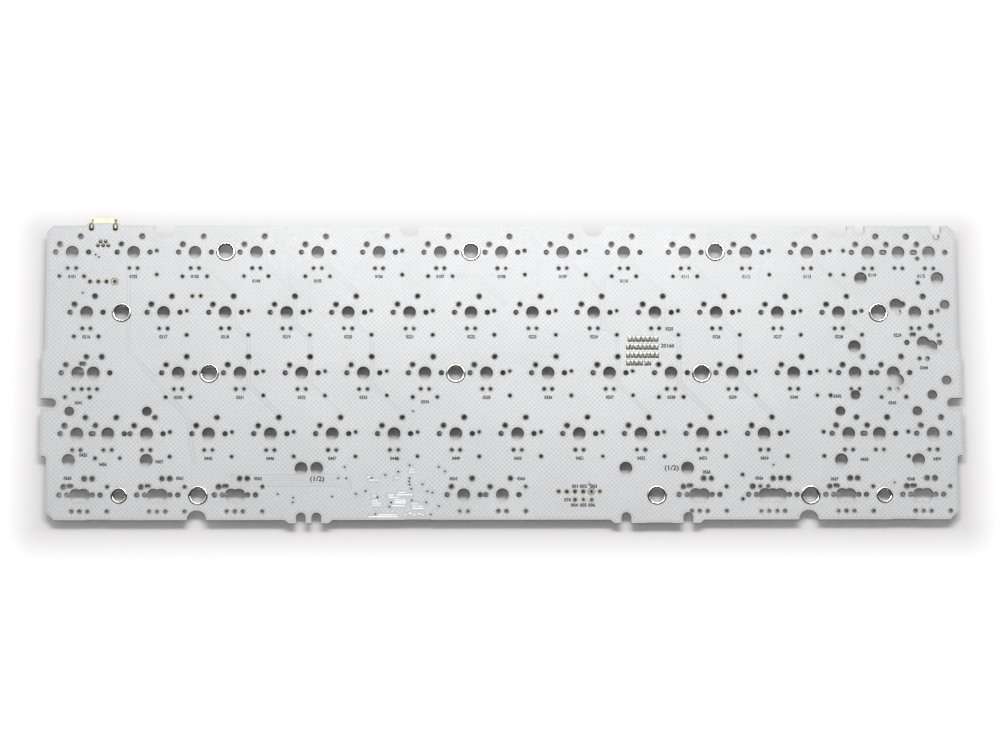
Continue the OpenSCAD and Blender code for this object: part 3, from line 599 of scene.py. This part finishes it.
def figures(text, x, y, tall, stretch=1.0):
    """A line of figures centred on a place of the shown face, as a closed mesh."""
    line = bpy.data.curves.new("figures", "FONT")
    line.body = text
    line.extrude = 0.5
    line.resolution_u = 2
    line.offset = INK_SPREAD / tall
    drawn = bpy.data.objects.new("figures", line)
    mesh = bpy.data.meshes.new_from_object(drawn)
    bpy.data.objects.remove(drawn)
    at = np.empty(len(mesh.vertices) * 3)
    mesh.vertices.foreach_get("co", at)
    at = at.reshape(-1, 3)
    lo, hi = at.min(0), at.max(0)
    size = tall * MM / (hi[1] - lo[1])
    px, py = place(x, y)
    mesh.transform(
        Matrix.Translation((px, py, FACE + INK_RISE / 2 * MM))
        @ Matrix.Diagonal((size * stretch, size, INK_RISE * MM / (hi[2] - lo[2]), 1))
        @ Matrix.Translation([-(a + b) / 2 for a, b in zip(lo, hi)])
    )
    return mesh


def joined(name, meshes):
    """Several meshes as one, with doubles merged."""
    whole = bmesh.new()
    for m in meshes:
        whole.from_mesh(m)
        bpy.data.meshes.remove(m)
    bmesh.ops.remove_doubles(whole, verts=whole.verts, dist=MERGE)
    out = bpy.data.meshes.new(name)
    whole.to_mesh(out)
    whole.free()
    return out


# A key's number stands this far in front of the key's middle. For the keys in LOWER, given
# by row and by count from zero, it stands a little further forward.
FIGURE_DROP = 7.7
LOWER_DROP = 1.4
LOWER = ((1, 3), (1, 4), (1, 9), (3, 4))
KEY_STRETCH = 0.85
# Each row of numbers: the row, the first key, how many keys, and the numbers set elsewhere.
under = [
    (1, 0.5, 13, [(258.4, 16.7), (273.7, 17.05)]),
    (2, 0.75, 1, []),
    (2, 2, 8, [(194.9, 33.8)]),
    (2, 11, 3, [(265.9, 35.8)]),
    (3, 2.25, 11, [(12.2, 57.0), (246.8, 55.0), (263.8, 57.1), (273.9, 46.1)]),
    (4, 2.75, 10, [(14, 73.3), (20.1, 76.2), (37.4, 75.4), (254.75, 74.8), (277.25, 74.7)]),
    (5, 0, 0, [(9.3, 80.45), (43.7, 80.5), (67.7, 80.6), (127.8, 80.7), (148.6, 80.7),
               (205.9, 78.7), (222.1, 80.6), (245.4, 80.9), (269, 80.9)]),
]
count, marks = 0, []
for row, first, many, others in under:
    spots = []
    for i in range(many):
        drop = FIGURE_DROP + (LOWER_DROP if (row, i) in LOWER else 0)
        spots.append(((first + i) * KEY, (row - 0.5) * KEY + drop))
    for x, y in spots + others:
        count += 1
        marks.append(figures("%02d%02d" % (row, count), x, y, INK_TALL, KEY_STRETCH))
# Small figures round the six-pin header.
pins = [(165.2, 83.1), (167.8, 83.1), (171, 83.1), (165, 88.95), (167.7, 88.95), (170.3, 88.95)]
for i, (x, y) in enumerate(pins):
    marks.append(figures("%03d" % (i + 1), x, y, INK_TALL))
marks.append(figures("076", 162.9, 87.3, INK_TALL))
marks.append(figures("(1/2)", 85.9, 80.9, 2.0, 1.15))
marks.append(figures("(1/2)", 195.1, 77.6, 2.0, 1.15))
marks.append(figures("20160", 194.3, 39.1, 1.3))
piece("printed_figures", joined("figures", marks), INK)

AIM_RADIUS = 1.1
AIM_LINE = 0.16
AIM_STEPS = 24
aims = []
for x, y in ((22.8, 18.85), (170.3, 84.75)):
    mid = frame_mm(x, y)
    turn = [a * math.tau / AIM_STEPS for a in range(AIM_STEPS + 1)]
    aims.append([mid + AIM_RADIUS * np.array([math.cos(a), math.sin(a)]) for a in turn])
grow("printed_rings", paths(FACE, (aims, INK_RISE / 2)), BARS, INK, "laminate", 40,
     Lower=AIM_LINE, Upper=AIM_LINE, Height=INK_RISE)

# ---- Tinned bars ---------------------------------------------------------------------
# Four rows of bare copper bars in the middle of the right half, tinned with the rings:
# a fat bead of tin stands on each, bright at the rear and dark at the front.
# Each row: how far forward it lies, its left end and its right end.
BARS_AT = ((36.9, 181.9, 191.5), (39.4, 181.4, 191.5), (42.0, 181.4, 191.6),
           (44.4, 181.4, 186.6), (44.4, 187.05, 189.1))
BAR_WIDTHS = (1.3, 0.9, 1.5, 1.1, 1.3, 0.8, 1.4, 1.2)
BAR_SLIT = 0.1
BAR_DEEP = 1.95
BAR_TALL = 0.5
BAR_LIFT = 0.02
# Degrees by which the front of each bead slopes down.
BAR_LEAN = 5
# A soft-edged block stands on each point, as wide and deep as the point's span.
BEADS, given = recipe("beads_on_points", "Height")
size = add(BEADS, "ShaderNodeCombineXYZ", {0: 1.0, 1: 1.0, 2: given["Height"]}).outputs[0]
block = add(BEADS, "GeometryNodeMeshCube", {"Size": size}).outputs[0]
sizes = {"Mesh": block, "Level": 2, "Edge Crease": 0.55}
bead = add(BEADS, "GeometryNodeSubdivisionSurface", sizes).outputs[0]
sizes = {"Points": given["Mesh"], "Instance": bead, "Rotation": carried(BEADS, "lean"),
         "Scale": carried(BEADS, "span")}
beads = add(BEADS, "GeometryNodeInstanceOnPoints", sizes).outputs[0]
served(BEADS, given, add(BEADS, "GeometryNodeSetShadeSmooth", {"Geometry": beads}).outputs[0])

# The tin on the bars is a little duller than on the rings.
BAR_TIN = tin_finish("levelled_tin_bar", "#d4d2cc", "#b4b1a9", 0.23, 0.7, 0.012)
middles, spans = [], []
for y, x, end in BARS_AT:
    # As many bars as nearly fill the row, then all a little wider or narrower to fill it.
    reach = [sum(BAR_WIDTHS[:n]) + n * BAR_SLIT for n in range(len(BAR_WIDTHS) + 1)]
    many = min(range(1, len(reach)), key=lambda n: abs(reach[n] - (end - x)))
    fit = (end - x + BAR_SLIT) / reach[many]
    for w in BAR_WIDTHS[:many]:
        px, py = place(x + w * fit / 2, y)
        middles.append((px, py, FACE + BAR_LIFT * MM))
        spans.append((w * fit * MM, BAR_DEEP * MM, 1))
        x += (w + BAR_SLIT) * fit
grow("tinned_bars", seeds(middles, spans, BAR_LEAN), BEADS, BAR_TIN, "tin", Height=BAR_TALL)

# ---- USB shell -----------------------------------------------------------------------
# The five-pin mini socket's shell, folded from sheet steel and plated with nickel. Its legs
# pass through the board's slots and are soldered from the other face. Nickel over rolled
# steel looks warm and slightly hazed.
dress("usb_shell", tin_finish("nickel_plated_steel", "#c4b896", "#ab9f7c", 0.28, 1.2, 0.006))

# ---- USB insert ----------------------------------------------------------------------
# The tongue and the back wall of the socket, moulded from black liquid-crystal polymer and
# pressed into the shell from behind.


def moulded_finish(name, tone, dark, rough, grain_mm, deep):
    """A dull moulded or fired surface with fine grit."""
    made, tree, shader, where = material(name)
    speck = grain(tree, where, grain_mm, 4)
    tree.links.new(between(tree, speck, colour(dark), colour(tone)), shader.inputs["Base Color"])
    tree.links.new(levels(tree, speck, rough * 0.85, rough * 1.1), shader.inputs["Roughness"])
    tree.links.new(relief(tree, speck, deep), shader.inputs["Normal"])
    return made


# Glass-filled polymer keeps a fine dry grit, black with a grey bloom.
POLYMER = moulded_finish("black_liquid_crystal_polymer", "#26272a", "#1b1c1e", 0.5, 0.15, 0.004)
dress("usb_insert", POLYMER)

# ---- USB contacts --------------------------------------------------------------------
# Five stamped copper-alloy springs with a gold flash, held in the insert; their tails bend
# down into two staggered rows of plated holes.
# The flash is thin, so the gold is pale and clear.
dress("usb_contacts", tin_finish("gold_plated_contact", "#e8c778", "#d4ad58", 0.18, 0.5, 0.002))

# ---- Solder of the socket ------------------------------------------------------------
# Fillets round the shell's legs and the contacts' tails, on the shown face.
# Leaded solder freezes bright, then dulls to a brown grey where the flux stays.
SOLDER = tin_finish("reflowed_solder", "#a39d8f", "#7f796c", 0.3, 0.5, 0.02)
dress("usb_solder", SOLDER)

# ---- Controller ----------------------------------------------------------------------
# The keyboard's controller: a moulded epoxy package with tinned gull-wing leads, reflowed
# onto the underside.
# Moulding compound is matt and nearly black, with silica grit.
dress("mcu_body", moulded_finish("moulded_epoxy_package", "#2c2d2f", "#202123", 0.6, 0.12, 0.006))
# Matt tin plate on the leads, brighter where the solder wetted it.
LEAD = tin_finish("tinned_lead", "#dcdad4", "#c4c1b9", 0.25, 0.4, 0.004)
dress("mcu_leads", LEAD)

# ---- Crystal -------------------------------------------------------------------------
# The clock crystal beside the controller: a fired alumina tray closed by a metal lid that
# is seam-welded in a vacuum.
# Alumina is cream-coloured and dry; the lid's nickel is smooth and faintly warm.
dress("crystal_tray", moulded_finish("ceramic_tray", "#cfc3ab", "#b9ac92", 0.6, 0.12, 0.003))
dress("crystal_lid", tin_finish("nickel_lid", "#d5d2c8", "#c0bcb0", 0.22, 0.8, 0.003))

# ---- Capacitors, resistors and their ends --------------------------------------------
# Blocks of fired ceramic and chips of alumina with a glazed resistor film, each between two
# tinned end caps that are reflowed onto the underside.
# The capacitor's ceramic is tan and dull; the resistor's overglaze is black and glossy.
FIRED_CERAMIC = moulded_finish("fired_ceramic_capacitor", "#b79a72", "#a3855c", 0.5, 0.1, 0.003)
dress("capacitors", FIRED_CERAMIC)
dress("resistors", moulded_finish("glazed_resistor", "#2a2a2c", "#1c1c1e", 0.35, 0.1, 0.002))
dress("chip_ends", LEAD)

# ---- Fuse ----------------------------------------------------------------------------
# The resettable fuse in the socket's supply line: polymer between two foils in green
# laminate, with tinned ends.
# The laminate is a deep satin green.
dress("fuse", moulded_finish("green_laminate_fuse", "#3f7d54", "#2f6441", 0.5, 0.2, 0.003))
dress("fuse_ends", LEAD)

# ---- Solder of the chips -------------------------------------------------------------
# Each lead and end cap sits in a low pillow of solder that wets its land on the underside.
# A lead is soldered only at its outer end, away from the package.
# How far a pillow is wider than an end cap, and than a lead.
CAP_RIM = 0.28
LEAD_RIM = 0.12
PILLOW_TALL = 0.16
# The share of a lead's length that meets its land.
LEAD_FOOT = 0.45
# What stays further than this from the board isn't soldered to it.
NEAR_BOARD = 0.2
package = [(a + b) / 2 for a, b in zip(*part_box("mcu_body"))]
middles, spans = [], []
for node, part, rim in (("mcu_leads", LEAD_FOOT, LEAD_RIM), ("chip_ends", 1.0, CAP_RIM),
                        ("fuse_ends", 1.0, CAP_RIM)):
    for lo, hi in islands(node):
        if hi[2] < UNDERSIDE - NEAR_BOARD * MM:
            continue
        mid, wide = (lo + hi) / 2, hi - lo
        long = int(wide[1] > wide[0])
        if part < 1:
            away = 1 if mid[long] > package[long] else -1
            mid[long] += away * wide[long] * (1 - part) / 2
            wide[long] *= part
        middles.append((mid[0], mid[1], UNDERSIDE))
        spans.append((wide[0] + rim * MM, wide[1] + rim * MM, 1))
grow("chip_solder", seeds(middles, spans), BEADS, SOLDER, "solder", Height=PILLOW_TALL)

# ---- Paper floor ---------------------------------------------------------------------
# A plain sheet of white paper that the socket's shell stands on. It keeps the board's
# shadow, and is shown a little whiter clear of it. Sizes and places are in metres from
# here on, apart from the sheet's small drop below the shell.
FLOOR_REACH = 3.0
FLOOR_DROP = 0.02
# The shadow falls forward, so the whiter part starts at the box of the whole part but, at
# the rear, this far inside it. It fades in between two distances from there.
LIT_REAR = 0.005
FADE_FROM, FADE_TO = 0.001, 0.014
FADE_WHITE = 0.35
level = cad_lo.z - FLOOR_DROP * MM
floor_mesh = bpy.data.meshes.new("floor")
corners = ((-1, -1), (1, -1), (1, 1), (-1, 1))
corners = [(x * FLOOR_REACH, y * FLOOR_REACH, level) for x, y in corners]
floor_mesh.from_pydata(corners, [], [(0, 1, 2, 3)])
floor = bpy.data.objects.new("floor", floor_mesh)
bpy.context.scene.collection.objects.link(floor)
paper, tree, shader, where = material("white_paper")
shader.inputs["Base Color"].default_value = colour("#fbf9fb")
shader.inputs["Roughness"].default_value = 0.9
shader.inputs["Specular IOR Level"].default_value = 0.1
# How far a point of the paper lies outside that box.
half = (cad_hi.x, cad_hi.y - LIT_REAR / 2, 0)
off = add(tree, "ShaderNodeVectorMath", {0: where, 1: (0, LIT_REAR / 2, 0)}).outputs[0]
off = add(tree, "ShaderNodeVectorMath", {0: off}, operation="ABSOLUTE").outputs[0]
for step, by in (("SUBTRACT", half), ("MAXIMUM", (0, 0, 0)), ("MULTIPLY", (1, 1, 0))):
    off = add(tree, "ShaderNodeVectorMath", {0: off, 1: by}, operation=step).outputs[0]
off = add(tree, "ShaderNodeVectorMath", {0: off}, operation="LENGTH").outputs["Value"]
fade = levels(tree, off, 0.0, FADE_WHITE, FADE_FROM, FADE_TO)
eye = add(tree, "ShaderNodeLightPath").outputs["Is Camera Ray"]
glow = add(tree, "ShaderNodeMath", {0: fade, 1: eye}, operation="MULTIPLY").outputs[0]
shader.inputs["Emission Color"].default_value = (1, 1, 1, 1)
tree.links.new(glow, shader.inputs["Emission Strength"])
# The paper has no back, so that the underside of the board can be looked at.
back = add(tree, "ShaderNodeNewGeometry").outputs["Backfacing"]
none = add(tree, "ShaderNodeBsdfTransparent").outputs[0]
one_sided = add(tree, "ShaderNodeMixShader", {0: back, 1: shader.outputs[0], 2: none}).outputs[0]
sheet_out = next(node for node in tree.nodes if node.type == "OUTPUT_MATERIAL")
tree.links.new(one_sided, sheet_out.inputs["Surface"])
floor_mesh.materials.append(paper)

# ---- Dark curtain --------------------------------------------------------------------
# Grey felt stands round the front and sides, and a felt roof lies over the camera up to the
# lamps, so that the tin has something to mirror besides white. Only reflections show it.
CURTAIN_FOOT, CURTAIN_HEAD = 0.02, 1.6
ROOF_HIGH, ROOF_REAR = 1.4, 0.315
turns = [(1.0, 0.25), (0.8, -0.5), (0.5, -0.7), (-0.6, -0.7), (-0.9, -0.5), (-1.1, 0.25)]
roof = ((-1.2, -0.8), (1.1, -0.8), (1.1, ROOF_REAR), (-1.2, ROOF_REAR))
posts = [(x, y, z) for z in (CURTAIN_FOOT, CURTAIN_HEAD) for x, y in turns]
posts += [(x, y, ROOF_HIGH) for x, y in roof]
n = len(turns)
sheets = [(i, i + 1, i + n + 1, i + n) for i in range(n - 1)]
sheets.append(tuple(range(2 * n, 2 * n + len(roof))))
cloth_mesh = bpy.data.meshes.new("dark_curtain")
cloth_mesh.from_pydata(posts, [], sheets)
cloth = bpy.data.objects.new("dark_curtain", cloth_mesh)
bpy.context.scene.collection.objects.link(cloth)
felt, tree, shader, where = material("dark_grey_felt")
shader.inputs["Base Color"].default_value = colour("#5a5a5a")
shader.inputs["Roughness"].default_value = 0.95
cloth_mesh.materials.append(felt)
cloth.visible_camera = cloth.visible_diffuse = cloth.visible_shadow = False

# ---- Lamps and world -----------------------------------------------------------------
# Soft boxes behind and above the board throw its short shadow forward; an even white world
# fills in, and shows full white to the camera and in reflections.
WORLD_FILL = 0.25


def lamp(name, size, power, spot):
    """A soft box aimed at the origin, which lies under the board's middle."""
    light = bpy.data.lights.new(name, "AREA")
    light.shape, light.size, light.size_y = "RECTANGLE", size[0], size[1]
    light.energy = power
    held = bpy.data.objects.new(name, light)
    held.location = spot
    held.rotation_euler = (Vector() - Vector(spot)).to_track_quat("-Z", "Y").to_euler()
    bpy.context.scene.collection.objects.link(held)
    return held


lamp("key", (0.4, 0.09), 2.4, (0.02, 0.245, 0.8))
lamp("rear", (0.9, 0.3), 2.2, (0.0, 0.43, 1.2))
# The broad fill is kept out of what the tin mirrors.
lamp("fill", (1.4, 1.0), 3.0, (-0.15, 0.25, 1.2)).visible_glossy = False

world = bpy.data.worlds.new("studio")
bpy.context.scene.world = world
world.use_nodes = True
tree = world.node_tree
tree.nodes.clear()
path = add(tree, "ShaderNodeLightPath").outputs
seen = path["Is Camera Ray"]
for ray in ("Is Glossy Ray", "Is Transmission Ray"):
    seen = add(tree, "ShaderNodeMath", {0: seen, 1: path[ray]}, operation="MAXIMUM").outputs[0]
strength = add(tree, "ShaderNodeMapRange", {0: seen, 3: WORLD_FILL, 4: 1.0}).outputs[0]
sky = add(tree, "ShaderNodeBackground", {0: (1, 1, 1, 1), 1: strength})
add(tree, "ShaderNodeOutputWorld", {0: sky.outputs[0]})

# ---- Camera --------------------------------------------------------------------------
# A long lens looks down from about a metre above the paper and a little in front of the
# board. The turn is in degrees.
CAMERA_AT = (-0.022959, -0.189284, 1.066414)
CAMERA_TURN = (10.0219, -1.1559, -0.2218)
camera = bpy.data.cameras.new("camera")
camera.sensor_width = 36
camera.lens = 125.343
held = bpy.data.objects.new("camera", camera)
held.location = CAMERA_AT
held.rotation_euler = [math.radians(a) for a in CAMERA_TURN]
bpy.context.scene.collection.objects.link(held)
bpy.context.scene.camera = held
bpy.context.scene.view_settings.view_transform = "Standard"
